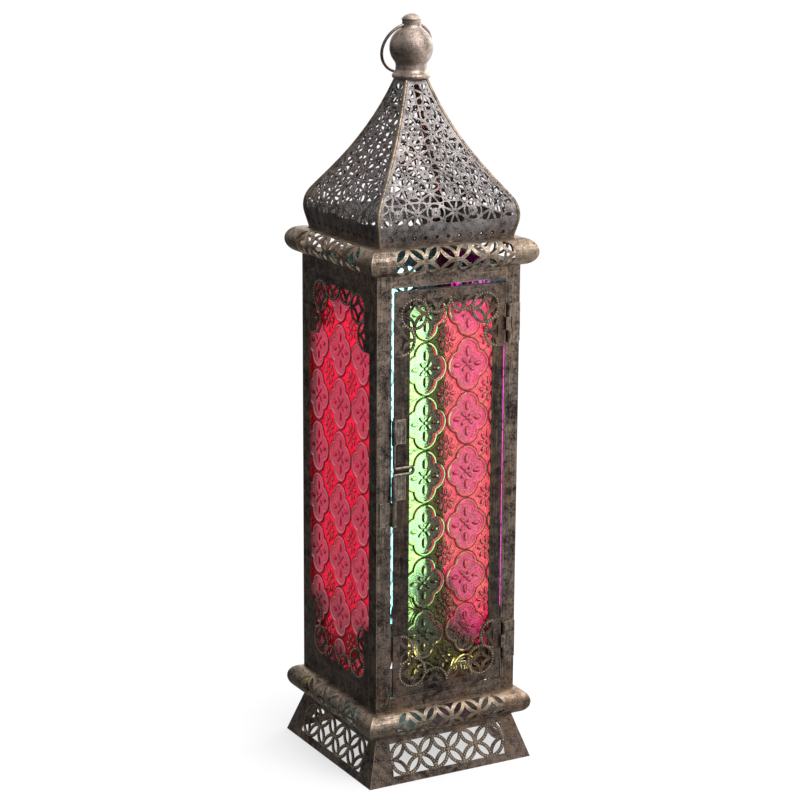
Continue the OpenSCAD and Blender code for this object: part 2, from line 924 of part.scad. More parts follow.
module cap_outline(inset) {
    intersection() {
        translate([0, cap_rim_z + cap_dome_h - cap_dome_r])
            circle(cap_dome_r - inset);
        translate([0, cap_rim_z])
            square([cap_r, cap_dome_h]);
    }
    polygon([[0, collar_top], [collar_r - inset, collar_top], [cap_r - inset, cap_rim_z], [0, cap_rim_z]]);
}

module finial_cap() {
    color(BRONZE)
        rotate_extrude()
            difference() {
                cap_outline(0);
                translate([0, -thin_t / 2])
                    cap_outline(finial_t);
            }
}

// Carrying ring: a closed wire ring through the collar, hanging to the back
module carry_ring() {
    color(OLD_BRASS)
        translate([0, 0, ring_pivot_z])
            rotate([ring_lean, 0, 0])
                translate([0, 0, -ring_drop])
                    rotate([90, 0, 0])
                        rotate_extrude()
                            translate([ring_r, 0])
                                circle(ring_wire_r);
}

// Butt hinges: the post carries two knuckles of each, the door the middle one. The post's leaf is
// notched as far as the door's leaf swings over it.
knuckle_l = hinge_l / 3;
leaf_notch = hinge_x - door_right + 2 * knuckle_gap;

module knuckle(h) {
    cylinder(r = knuckle_r, h = h);
}

module hinge_leaves_post() {
    reach = body_half - hinge_x;
    color(OLD_BRASS)
        for (z = hinge_zs)
            translate([hinge_x, hinge_y, z - hinge_l / 2])
                difference() {
                    union() {
                        for (k = [0, 2])
                            translate([0, 0, k * knuckle_l])
                                knuckle(knuckle_l);
                        translate([0, knuckle_r + seat_gap - thin_t, 0])
                            cube([reach, thin_t, hinge_l]);
                    }
                    translate([-leaf_notch, -cut, knuckle_l - knuckle_gap])
                        cube([2 * leaf_notch, 3 * cut, knuckle_l + 2 * knuckle_gap]);
                    translate([0, 0, -cut])
                        cylinder(r = pin_r + run_gap, h = hinge_l + 2 * cut);
                }
}

module hinge_leaves_door() {
    leaf_x = door_right - hinge_x;
    color(OLD_BRASS)
        for (z = hinge_zs)
            translate([hinge_x, hinge_y, z - hinge_l / 2])
                difference() {
                    union() {
                        translate([0, 0, knuckle_l])
                            knuckle(knuckle_l);
                        translate([leaf_x, -knuckle_r, knuckle_l])
                            cube([-leaf_x, leaf_t, knuckle_l]);
                        translate([leaf_x, -knuckle_r, knuckle_l])
                            cube([leaf_t, 2 * knuckle_r, knuckle_l]);
                        translate([leaf_x, knuckle_r - leaf_t, 0])
                            cube([leaf_t, door_back - hinge_y - knuckle_r + leaf_t, hinge_l]);
                    }
                    translate([0, 0, -cut])
                        cylinder(r = pin_r + run_gap, h = hinge_l + 2 * cut);
                }
}

module hinge_pins() {
    over = pin_r / 2;
    color(OLD_BRASS)
        for (z = hinge_zs)
            translate([hinge_x, hinge_y, z - hinge_l / 2 - over])
                cylinder(r = pin_r, h = hinge_l + 2 * over);
}

// Door frame of folded channels, open towards the glass. The latch stile's web is set in from its
// edge, so that light shows through the gap beside the door.
web_inset = 2.4;

module stile(x0, w, turn, inset) {
    translate([x0, -body_half, door_low])
        mirror([turn, 0, 0])
            linear_extrude(door_high - door_low)
                translate([inset, 0])
                    polygon([[-inset, 0], [w - inset, 0], [w - inset, thin_t], [thin_t, thin_t],
                        [thin_t, door_depth - thin_t], [lip, door_depth - thin_t], [lip, door_depth],
                        [0, door_depth], [0, thin_t], [-inset, thin_t]]);
}

module door_stile_latch() {
    color(BRONZE)
        stile(door_left, stile_latch_w, 0, web_inset);
}

module door_stile_hinge() {
    color(BRONZE)
        stile(door_right, stile_hinge_w, 1, 0);
}

module door_rail(z, up) {
    front = [door_left + stile_latch_w, door_right - stile_hinge_w];
    web = [door_left + web_inset + thin_t, door_right - thin_t];
    back = [door_left + web_inset + lip, door_right - lip];
    color(BRONZE)
        translate([0, -body_half, z])
            mirror([0, 0, up]) {
                translate([front[0], 0, 0])
                    cube([front[1] - front[0], thin_t, door_rail_h]);
                translate([web[0], thin_t, 0])
                    cube([web[1] - web[0], door_depth - 2 * thin_t, thin_t]);
                translate([front[0], 0, 0])
                    cube([front[1] - front[0], 2 * thin_t, thin_t]);
                translate([back[0], door_depth - 2 * thin_t, 0])
                    cube([back[1] - back[0], 2 * thin_t, thin_t]);
                translate([back[0], door_depth - thin_t, 0])
                    cube([back[1] - back[0], thin_t, lip]);
            }
}

module door_rail_top() {
    door_rail(door_high, 1);
}

module door_rail_bottom() {
    door_rail(door_low, 0);
}

module door_glass() {
    play = (door_depth - 2 * thin_t - glass_t) / 2;
    w = door_w - web_inset - 2 * thin_t - 2 * fit_gap;
    color(AMBER)
        translate([(door_left + web_inset + door_right) / 2, -body_half + thin_t + play, door_low + thin_t])
            pressed_pane(w, door_high - door_low - 2 * thin_t - fit_gap, door_border, door_shift);
}

module door_valance(z, up) {
    color(BRONZE)
        translate([(door_left + door_right) / 2, -body_half - thin_t, z])
            mirror([0, 0, 1 - up])
                valance_sheet(door_w);
}

module door_valance_top() {
    door_valance(door_high, 1);
}

module door_valance_bottom() {
    door_valance(door_low, 0);
}

// Drop bolt: barrels with leaves, and a bent wire with a loop to lift it by
module barrel(low, leaf) {
    difference() {
        union() {
            translate([latch_x, latch_y, low])
                cylinder(r = barrel_r, h = barrel_l);
            translate([min(latch_x, latch_x + leaf), -body_half - thin_t, low])
                cube([abs(leaf), thin_t, barrel_l]);
        }
        translate([latch_x, latch_y, low - cut])
            cylinder(r = bolt_r + run_gap, h = barrel_l + 2 * cut);
    }
}

module latch_guides() {
    color(OLD_BRASS) {
        barrel(guide_low_top - barrel_l, guide_leaf);
        barrel(guide_high_low, guide_leaf);
    }
}

module latch_keeper() {
    color(OLD_BRASS)
        barrel(keeper_top - barrel_l, -keeper_leaf);
}

module wire(length) {
    cylinder(r = bolt_r, h = length);
}

module wire_bend(r, turn) {
    rotate_extrude(angle = turn)
        translate([r, 0])
            circle(bolt_r);
}

module latch_bolt() {
    corner_r = bolt_r * 1.25;
    low_wire = loop_z - loop_bend_r;
    high_wire = loop_z + loop_bend_r;
    run = loop_reach - corner_r;
    color(OLD_BRASS)
        translate([latch_x, latch_y, 0]) {
            translate([0, 0, bolt_low])
                wire(low_wire - corner_r - bolt_low);
            translate([0, 0, high_wire + corner_r])
                wire(bolt_high - high_wire - corner_r);
            translate([corner_r, 0, low_wire - corner_r])
                rotate([90, 0, 0])
                    rotate(90)
                        wire_bend(corner_r, 90);
            translate([corner_r, 0, high_wire + corner_r])
                rotate([90, 0, 0])
                    rotate(180)
                        wire_bend(corner_r, 90);
            for (z = [low_wire, high_wire])
                translate([corner_r, 0, z])
                    rotate([0, 90, 0])
                        wire(run);
            translate([loop_reach, 0, loop_z])
                rotate([90, 0, 0])
                    rotate(-90)
                        wire_bend(loop_bend_r, 180);
        }
}

skirt(0);  // skirt_front
skirt(1);  // skirt_right
skirt(2);  // skirt_back
skirt(3);  // skirt_left
floor_plate();
lower_moulding(0);  // lower_moulding_front
lower_moulding(1);  // lower_moulding_right
lower_moulding(2);  // lower_moulding_back
lower_moulding(3);  // lower_moulding_left
corner_post(0);  // post_front_left
corner_post(1);  // post_front_right
corner_post(2);  // post_back_right
corner_post(3);  // post_back_left
rail(0, front_rail_top_h, 1);  // rail_front_top
rail(1, side_rail_top_h, 1);  // rail_right_top
rail(2, side_rail_top_h, 1);  // rail_back_top
rail(3, side_rail_top_h, 1);  // rail_left_top
rail(0, front_rail_bottom_h, 0);  // rail_front_bottom
rail(1, side_rail_bottom_h, 0);  // rail_right_bottom
rail(2, side_rail_bottom_h, 0);  // rail_back_bottom
rail(3, side_rail_bottom_h, 0);  // rail_left_bottom
glass_right();
glass_back();
glass_left();
side_valance(1, 1);  // valance_right_top
side_valance(2, 1);  // valance_back_top
side_valance(3, 1);  // valance_left_top
side_valance(1, 0);  // valance_right_bottom
side_valance(2, 0);  // valance_back_bottom
side_valance(3, 0);  // valance_left_bottom
glass_clips();
upper_moulding(0);  // upper_moulding_front
upper_moulding(1);  // upper_moulding_right
upper_moulding(2);  // upper_moulding_back
upper_moulding(3);  // upper_moulding_left
roof_panel(0);  // roof_panel_front
roof_panel(1);  // roof_panel_right
roof_panel(2);  // roof_panel_back
roof_panel(3);  // roof_panel_left
hip_bead(0);  // hip_bead_front_left
hip_bead(1);  // hip_bead_front_right
hip_bead(2);  // hip_bead_back_right
hip_bead(3);  // hip_bead_back_left
finial();
finial_cap();
hinge_leaves_post();
hinge_pins();
latch_keeper();
door_stile_latch();
door_stile_hinge();
door_rail_top();
door_rail_bottom();
door_glass();
door_valance_top();
door_valance_bottom();
hinge_leaves_door();
latch_guides();
latch_bolt();
carry_ring();
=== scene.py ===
"""Dresses a square fanous lantern: aged metal, pressed coloured panes, stamped dots and a studio."""

import math

import bpy
import numpy as np
from mathutils import Matrix, Vector


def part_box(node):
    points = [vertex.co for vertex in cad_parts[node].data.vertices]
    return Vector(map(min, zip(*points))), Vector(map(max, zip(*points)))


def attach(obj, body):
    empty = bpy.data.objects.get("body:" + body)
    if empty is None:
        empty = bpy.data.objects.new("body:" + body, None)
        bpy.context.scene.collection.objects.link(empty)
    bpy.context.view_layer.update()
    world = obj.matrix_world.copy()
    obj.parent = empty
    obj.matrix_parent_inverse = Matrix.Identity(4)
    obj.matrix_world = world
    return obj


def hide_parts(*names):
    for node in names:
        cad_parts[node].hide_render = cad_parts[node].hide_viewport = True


bl_info = {
    "name": "Fanous lantern dresser",
    "version": (1, 0, 0),
    "blender": (4, 5, 0),
    "location": "3D View > Sidebar > Lantern",
    "description": "Dresses a square fanous lantern in aged metal and pressed coloured glass",
    "category": "Object",
}

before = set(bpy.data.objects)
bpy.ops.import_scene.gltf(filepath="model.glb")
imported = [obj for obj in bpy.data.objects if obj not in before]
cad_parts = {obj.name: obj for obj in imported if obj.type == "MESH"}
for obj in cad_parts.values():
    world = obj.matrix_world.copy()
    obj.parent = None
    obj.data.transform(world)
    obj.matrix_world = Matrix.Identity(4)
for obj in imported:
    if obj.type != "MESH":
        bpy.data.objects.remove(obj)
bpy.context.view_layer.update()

MM = 0.001
SIDES = ("front", "right", "back", "left")
WHITE = (1.0, 1.0, 1.0, 1.0)
PHOTO_WIDTH = 800
PANES = {  # the glass nodes, and the record's slot for each
    "glass_right": "magenta_glass", "glass_back": "turquoise_glass", "glass_left": "ruby_glass",
    "door_glass": "amber_glass"}


# Materials

class Wire:
    """An output inside a finish's node tree. An expression on it adds its Math nodes."""

    def __init__(self, finish, socket):
        self.finish = finish
        self.socket = socket

    def __add__(self, other):
        return self.finish.maths("ADD", self, other)

    __radd__ = __add__

    def __sub__(self, other):
        return self.finish.maths("SUBTRACT", self, other)

    def __rsub__(self, other):
        return self.finish.maths("SUBTRACT", other, self)

    def __mul__(self, other):
        return self.finish.maths("MULTIPLY", self, other)

    __rmul__ = __mul__

    def above(self, low, high):
        """0 at low and 1 at high, and level beyond them."""
        return self.finish.node("ShaderNodeMapRange", {"clamp": True}, {
            0: self, 1: low, 2: high, 3: 0.0, 4: 1.0})


class Finish:
    """A material or a world, with the one method that adds its nodes."""

    def __init__(self, owner):
        self.owner = owner
        owner.use_nodes = True
        self.tree = owner.node_tree
        self.tree.nodes.clear()

    @classmethod
    def material(cls, name):
        made = cls(bpy.data.materials.new(name))
        made.place = made.node("ShaderNodeTexCoord", out="Object")
        return made

    def node(self, kind, settings=None, inputs=None, out=0):
        """Adds a node, sets its settings first and then its sockets, and returns one output."""
        made = self.tree.nodes.new(kind)
        for key, value in (settings or {}).items():
            setattr(made, key, value)
        for key, value in (inputs or {}).items():
            if isinstance(value, Wire):
                self.tree.links.new(value.socket, made.inputs[key])
            else:
                made.inputs[key].default_value = value
        return Wire(self, made.outputs[out]) if made.outputs else None

    def maths(self, operation, *values):
        """The number that a Math node makes of its values."""
        return self.node("ShaderNodeMath", {"operation": operation}, dict(enumerate(values)))

    def ray(self, kind):
        return self.node("ShaderNodeLightPath", out=f"Is {kind} Ray")

    def part(self, vector, axis):
        """One axis of a vector, X, Y or Z."""
        return self.node("ShaderNodeSeparateXYZ", None, {0: vector}, out=axis)

    def vector(self, operation, *values):
        """The number that a Vector Math node makes of its vectors."""
        inputs = dict(enumerate(values))
        return self.node("ShaderNodeVectorMath", {"operation": operation}, inputs, out="Value")

    def stretched(self, scale):
        return self.node("ShaderNodeMapping", None, {"Vector": self.place, "Scale": scale})

    def noise(self, scale, detail=2.0, roughness=0.5, place=None):
        return self.node("ShaderNodeTexNoise", None, {
            "Vector": place or self.place, "Scale": scale, "Detail": detail, "Roughness": roughness})

    def blend(self, share, low, high):
        """A colour between two others: low at 0 and high at 1."""
        low, high = (tuple(c) + (1.0,) if isinstance(c, tuple) and len(c) == 3 else c for c in (low, high))
        return self.node("ShaderNodeMix", {"data_type": "RGBA"}, {0: share, 6: low, 7: high}, out=2)

    def edges(self, radius, gain):
        """1 along the edges of sheet, where a finish is rubbed off, and 0 away from them."""
        soft = self.node("ShaderNodeBevel", {"samples": 4}, {"Radius": radius})
        sharp = self.node("ShaderNodeNewGeometry", out="Normal")
        return ((1.0 - self.vector("DOT_PRODUCT", soft, sharp)) * gain).above(0.0, 1.0)

    def bump(self, height, strength, distance):
        return self.node("ShaderNodeBump", None, {
            "Height": height, "Strength": strength, "Distance": distance})

    def shade(self, **inputs):
        """The surface's main shader, from its sockets' own names with spaces as underscores."""
        return self.node("ShaderNodeBsdfPrincipled", None, {
            key.replace("_", " "): value for key, value in inputs.items()})

    def close(self, shader, end="ShaderNodeOutputMaterial"):
        self.node(end, None, {"Surface": shader})
        return self.owner


def aged_metal(name, dark, middle, rubbed, grain, rub=1.0, rough=(0.34, 0.62), dots=0.0, edge=0.0006,
               rust=0.35, punched=None):
    """Dark patina over bare metal: cloudy, speckled, brushed along its grain and rubbed bare at edges.

    grain is the noise's scale along each axis, rub how much is worn, rough the least and most roughness, dots
    the scale of its pits, edge the width of the worn edges, and rust the share of brown in its patches.
    Where punched gives a height and a pitch, painted shade darkens the sheet round a row of holes along all
    four sides, like the shadow of a punched dimple round each hole.
    """
    rust_brown, bump_depth, pit_depth = (0.26, 0.13, 0.06), 0.3 * MM, 1.2
    f = Finish.material(name)
    # noise averages 0.5, and these are patches of about 26, 5 and 0.8 mm
    cloud = f.noise(38.0, 4.0, 0.65)
    blotch = f.noise(190.0, 3.0, 0.6)
    speckle = f.noise(1300.0, 2.0, 0.7)
    brushed = f.noise(1.0, 3.0, 0.6, f.stretched(grain))
    tone = (cloud * 0.9 + blotch * 0.9 + speckle * 1.1 + brushed * 0.6 - 1.42).above(0.06, 0.5)
    body = f.blend(tone, dark, middle)
    worn = (f.edges(edge, 3.4) * (0.3 + blotch * 1.3) * rub).above(0.12, 0.85)
    streak = (brushed * 1.3 + blotch + speckle * 0.3 - 1.32).above(0.08, 0.42) * (0.5 * rub)
    colour = f.blend(streak, body, rubbed)
    colour = f.blend(worn, colour, rubbed)
    stain = f.noise(420.0, 2.0, 0.6).above(0.54, 0.68)
    colour = f.blend(stain * 0.7, colour, tuple(c * 1.3 for c in dark))
    brown = (f.noise(22.0, 4.0, 0.7, f.stretched((1.0, 1.0, 0.5))) + blotch * 0.3 - 0.15).above(0.52, 0.68)
    colour = f.blend(brown * rust, colour, rust_brown)
    if punched:
        row_height, pitch = punched
        # painted shade, dark close round each hole and fading out a little further, like the shadow of a
        # punched dimple
        dark_to, unshaded_from, share = 1.1 * MM, 1.7 * MM, 0.85
        # the smaller of x and y runs along the sheet, and is folded to the distance from the nearest hole
        along = f.maths("MINIMUM", *(f.maths("ABSOLUTE", f.part(f.place, axis)) for axis in "XY"))
        along = f.maths("PINGPONG", along, pitch / 2)
        over = f.part(f.place, "Z") - row_height
        near = 1.0 - f.maths("SQRT", along * along + over * over).above(dark_to, unshaded_from)
        colour = f.blend(near * share, colour, tuple(c * 0.3 for c in dark))
    smoothest, roughest = rough
    roughness = smoothest + (roughest - smoothest) * (speckle * 0.6 + cloud * 0.4)
    height = speckle * 0.6 + brushed * 0.5 + blotch * 0.8
    if dots:
        pits = f.node("ShaderNodeTexVoronoi", None, {"Vector": f.place, "Scale": dots}, out="Distance")
        height = height + pits * pit_depth
    return f.close(f.shade(
        Base_Color=colour, Metallic=1.0, Roughness=roughness, Normal=f.bump(height, 0.45, bump_depth)))


def pressed_glass(name, clear, frosted, haze, share, glow):
    """Coloured glass: smooth between the motifs and finely ribbed inside them.

    haze is the colour that its ribs and outlines scatter, share how much of it, and glow how strongly it
    gives off a painted glow of its own colour, though it is no lamp.
    Each outline is a bright line inside a dark one, a painted highlight inside painted shade, and the drops
    are clear with painted shade on one side.
    """
    rib_pitch, rib_drift, bump_depth = 1.05 * MM, 9.0, 0.12 * MM
    clear_roughness, rib_roughness, refraction = 0.01, 0.08, 1.3
    f = Finish.material(name)
    # rim is how far outside an outline a point is, in mm, and bead and the slope mask for painted shade run
    # from 0 to 1
    rim, bead, shade_flank = (f.node("ShaderNodeAttribute", {"attribute_name": label}, out="Fac")
                        for label in ("rim", "bead", "shade_flank"))
    hill = bead.above(0.3, 0.7)
    inside = (1.0 - rim.above(-1.9, -1.4)) * (1.0 - hill)
    # a painted highlight: a bright line along the crest of each outline
    bright = rim.above(-1.6, -1.0) * (1.0 - rim.above(0.2, 0.6))
    # painted shade: a dark line outside each outline and a dark ring round each drop
    dark = rim.above(0.4, 0.8) * (1.0 - rim.above(1.3, 1.8)) + bead.above(0.0, 0.2) * (1.0 - hill) * 0.9
    ribs = f.part(f.place, "Z") * (2 * math.pi / rib_pitch) + f.noise(260.0, 2.0, 0.5) * rib_drift
    ribs = f.maths("SINE", ribs) * inside
    hammered = f.noise(520.0, 2.0, 0.5)
    grain = f.noise(1000.0, 1.0, 0.5) * inside
    cloud = f.noise(35.0, 2.0, 0.5)
    colour = f.blend(inside * 0.75 + ribs * 0.25 + cloud * 0.15, clear, frosted)
    # painted shade from the slopes, the outlines and the ribs' troughs, with darker specks of grain, takes
    # the colour towards black
    shadow = (shade_flank * 0.95 + dark + (inside - ribs) * 0.15 + grain.above(0.5, 0.65) * 0.25).above(0.0, 1.0)
    colour = f.blend(shadow, colour, tuple(c * 0.05 for c in clear))
    relief = f.bump(ribs * 0.2 + hammered * 0.15, 0.9, bump_depth)
    # both layers give off a painted glow of the glass's own colour
    glass = f.shade(
        Base_Color=colour, Metallic=0.0, Roughness=clear_roughness + inside * rib_roughness, IOR=refraction,
        Transmission_Weight=1.0, Normal=relief, Emission_Color=colour, Emission_Strength=glow)
    # the milky layer is lighter on the ribs and along each outline's painted highlight
    milk = f.blend(0.4 + ribs * 0.4 + bright * 0.6, tuple(c * 0.6 for c in haze), haze)
    lit = f.shade(Base_Color=milk, Roughness=0.35, Emission_Color=milk, Emission_Strength=glow)
    petals = hill * rim.above(0.0, 1.5) * 0.9
    # the painted highlight along each outline, and the daisies' petals, take more of the milky layer
    milky = 0.01 + inside * (0.6 + ribs * 0.4) * share + (bright + petals) * (share + 0.08)
    return f.close(f.node("ShaderNodeMixShader", None, {0: milky * (1.0 - shadow * 0.8), 1: glass, 2: lit}))


def pale_surface(name, colour, share, through):
    """A floor that shows nearly white, keeps the lantern's shadow and is brighter behind glass.

    What metal reflects of it is dark on the left and bright on the right, like a studio lit from the right,
    and brighter where the floor has risen behind the lantern.
    """
    unlit, white_level, dull = (0.1, 0.096, 0.096), 1.14, 0.9
    f = Finish.material(name)
    across, risen = (f.part(f.place, axis) for axis in "XZ")
    drift = f.noise(0.8, 2.0, 0.5) * 0.1
    seen, behind, mirrored = f.ray("Camera"), f.ray("Transmission"), f.ray("Glossy")
    bright = (across + drift).above(-0.12, 1.0)
    lit = f.shade(Base_Color=f.blend((bright + seen).above(0.0, 1.0), unlit, colour), Roughness=dull)
    # near the foot the floor glows less, so that the shadow shows there
    near = 1.0 - f.vector("LENGTH", f.place).above(0.05, 0.17)
    reflected = 0.09 + bright * 1.45 + risen.above(0.1, 1.4) * 0.55
    strength = seen * white_level + behind * through + mirrored * reflected
    glow = f.node("ShaderNodeEmission", None, {"Color": WHITE, "Strength": strength})
    factor = seen * (share - near * 0.3) + behind + mirrored
    return f.close(f.node("ShaderNodeMixShader", None, {0: factor.above(0.0, 1.0), 1: lit, 2: glow}))


def pale_world(name, ambient, through):
    """White where it is seen, a soft light from the right elsewhere, and bright behind glass."""
    f = Finish(bpy.data.worlds.new(name))
    aim = f.node("ShaderNodeTexCoord", out="Generated")
    bright_side, overhead = (0.74, -0.3, 0.6), 0.2  # a direction, and the level above behind glass
    level = ambient * (0.34 + 1.1 * f.vector("DOT_PRODUCT", aim, bright_side).above(-0.45, 0.95))
    level = level + (1.0 - level) * f.ray("Camera")
    sky = through + (overhead - through) * f.part(aim, "Z").above(0.25, 0.8)
    level = level + (sky - level) * f.ray("Transmission")
    shown = f.node("ShaderNodeBackground", None, {"Color": WHITE, "Strength": level})
    return f.close(shown, "ShaderNodeOutputWorld")


# Sizes and colours that a user may change

def length(name, words, value):
    return bpy.props.FloatProperty(name=name, description=words, default=value, unit="LENGTH")


def angle(name, words, degrees):
    return bpy.props.FloatProperty(
        name=name, description=words, default=math.radians(degrees), subtype="ANGLE")


def strength(name, words, value):
    return bpy.props.FloatProperty(name=name, description=words, default=value, min=0.0)


def colour(name, words, value):
    return bpy.props.FloatVectorProperty(
        name=name, description=words, default=value, size=3, min=0.0, max=1.0, subtype="COLOR")


class PaneSettings(bpy.types.PropertyGroup):
    pitch_across: length("Pitch across", "Width of one motif of the pressed glass", 0.0328)
    pitch_up: length("Pitch up", "Height of one motif of the pressed glass", 0.0375)
    relief: length("Relief", "Height of the ridge round each motif", 0.0007)
    mesh_step: length("Mesh step", "Spacing of the mesh over the relief", 0.00054)
    ruby: colour("Ruby", "Colour of the left pane", (0.8, 0.004, 0.018))
    turquoise: colour("Turquoise", "Colour of the back pane", (0.38, 1.0, 1.0))
    magenta: colour("Magenta", "Colour of the right pane", (0.4, 0.006, 0.21))
    amber: colour("Amber", "Colour of the door's pane", (0.94, 0.86, 0.2))


class MetalSettings(bpy.types.PropertyGroup):
    patina: colour("Patina", "The darkest patina", (0.02, 0.0155, 0.0155))
    bronze: colour("Bronze", "Lighter patches of the body", (0.25, 0.195, 0.16))
    gold: colour("Gold", "Metal rubbed bare", (0.46, 0.36, 0.25))
    silver: colour("Silver", "Silvery sheen of the roof", (0.42, 0.375, 0.36))
    punch_height: length("Punch height", "From the roof's lower edge to its row of punched holes", 0.00446)
    punch_pitch: length("Punch pitch", "Distance between the punched holes", 0.00853)


class DotSettings(bpy.types.PropertyGroup):
    pitch: length("Pitch", "Distance between stamped dots", 0.0019)
    radius: length("Radius", "Radius of a stamped dot", 0.0006)
    height: length("Height", "Height of a stamped dot", 0.0004)
    skirt_pitch: length("Skirt pitch", "Distance between the skirt's circles", 0.0224)
    valance_radius: length("Valance radius", "Radius of a circle of the valances", 0.01)
    valance_drop: length("Valance drop", "From the valance's edge to its first circle's middle", 0.0055)


class StageSettings(bpy.types.PropertyGroup):
    azimuth: angle("Azimuth", "Side that the camera stands on, from the front", -29.2)
    elevation: angle("Elevation", "Angle above the horizon", 13.39)
    roll: angle("Roll", "Tilt of the camera", 0.38)
    distance: length("Distance", "From the lantern's middle to the camera", 1.578)
    aim_height: length("Aim height", "Height that the camera and the lamps point at", 0.26)
    focal: bpy.props.FloatProperty(
        name="Focal length", description="Of the camera's lens", default=102.12, unit="CAMERA")
    floor: colour("Floor", "Colour of the floor", (0.85, 0.84, 0.88))
    ambient: strength("Ambient", "Strength of the light from all round", 0.6)
    through: strength("Through", "How bright the studio is behind glass", 2.25)


# Meshes

def add_piece(name, mesh, material, body):
    """Links a finished mesh that stands in the row frame, and makes it ride on its body."""
    piece = bpy.data.objects.new(name, mesh)
    bpy.context.scene.collection.objects.link(piece)
    mesh.materials.clear()
    mesh.materials.append(material)
    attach(piece, body)
    return piece


def corners(node):
    """Every corner of a CAD node's mesh, in the row frame."""
    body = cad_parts[node]
    return np.array([body.matrix_world @ v.co for v in body.data.vertices])


def side_turn(number):
    """Turns what is drawn for the front to side number 0 to 3."""
    return Matrix.Rotation(math.radians(90 * number), 4, "Z")


def placed_axes(across, up, out, at):
    """A matrix from its three axes and its place."""
    return Matrix((*zip(across, up, out, at), (0, 0, 0, 1)))


def side_spans(node, number):
    """Half the width of a side's node, and how far out from the middle its inner and outer faces are."""
    lo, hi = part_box(node)
    wide, deep = ((lo.y, hi.y), (lo.x, hi.x)) if number in (1, 3) else ((lo.x, hi.x), (lo.y, hi.y))
    return max(abs(v) for v in wide), min(abs(v) for v in deep), max(abs(v) for v in deep)


def drop(across, up, at, half):
    """A rounded drop of the pressed relief: 1 at its middle and 0 at its rim."""
    q = ((across - at[0]) / half[0]) ** 2 + ((up - at[1]) / half[1]) ** 2
    return np.sqrt(np.clip(1.0 - q, 0.0, 1.0))


def ridge(distance, at, half):
    """A rounded ridge along a line of equal distance."""
    return 0.5 + 0.5 * np.cos(np.pi * np.clip((distance - at) / half, -1.0, 1.0))


def turned(across, up, degrees):
    """Coordinates along and across a direction."""
    c, s = math.cos(math.radians(degrees)), math.sin(math.radians(degrees))
    return across * c + up * s, up * c - across * s


def lobed_distance(across, up):
    """Distance in mm outside the four-lobed outline, whose middle is at 0, 0."""
    lobes = ((0.0, 9.29, 8.0), (0.0, -9.29, 8.0), (5.97, 0.0, 9.13), (-5.97, 0.0, 9.13))
    return np.minimum.reduce([np.hypot(across - x, up - z) - radius for x, z, radius in lobes])


def motif_relief(across, up, pitch):
    """How high the outlines stand, how high the drops and daisies stand, and the distance to an outline.

    Heights are 0 to 1, and every distance is in mm.
    """
    u = (across + pitch[0] / 2) % pitch[0] - pitch[0] / 2
    v = (up + pitch[1] / 2) % pitch[1] - pitch[1] / 2
    # the outline, with a fine ridge inside it and one outside
    rim = lobed_distance(u, v)
    lines = ridge(rim, -0.2, 1.25) * 0.9
    lines = np.maximum(lines, ridge(rim, -2.35, 0.7) * 0.14)
    lines = np.maximum(lines, ridge(rim, 2.0, 0.65) * 0.12)
    # the cross of drops, with a boss in its middle and a petal between each two
    beads = drop(u, v, (0, 0), (1.1, 1.1)) * 0.9
    for sign in (1, -1):
        beads = np.maximum(beads, drop(u, v, (0, 9.0 * sign), (1.5, 3.3)))
        beads = np.maximum(beads, drop(u, v, (8.1 * sign, 0), (2.7, 1.4)))
    for k in range(4):
        along, aside = turned(u, v, 45 + 90 * k)
        beads = np.maximum(beads, drop(along, aside, (3.9, 0), (2.3, 0.95)) * 0.9)
    # the daisy between four outlines, a little taller than wide
    du = (across % pitch[0]) - pitch[0] / 2
    dv = ((up % pitch[1]) - pitch[1] / 2) * 0.8
    for k in range(8):
        along, aside = turned(du, dv, 45 * k)
        out = 4.9 if k % 2 == 0 else 4.6
        beads = np.maximum(beads, drop(along, aside, (out, 0), (2.3, 1.1)) * 0.8)
    beads = np.maximum(beads, drop(du, dv, (0, 0), (1.3, 1.3)) * 0.85)
    return lines, beads, rim


def stepped(low, high, inner_low, inner_high, step):
    """Places along one direction: close together where the relief shows, and the two ends."""
    count = int(round((inner_high - inner_low) / step))
    return np.concatenate([[low], np.linspace(inner_low, inner_high, count + 1), [high]])


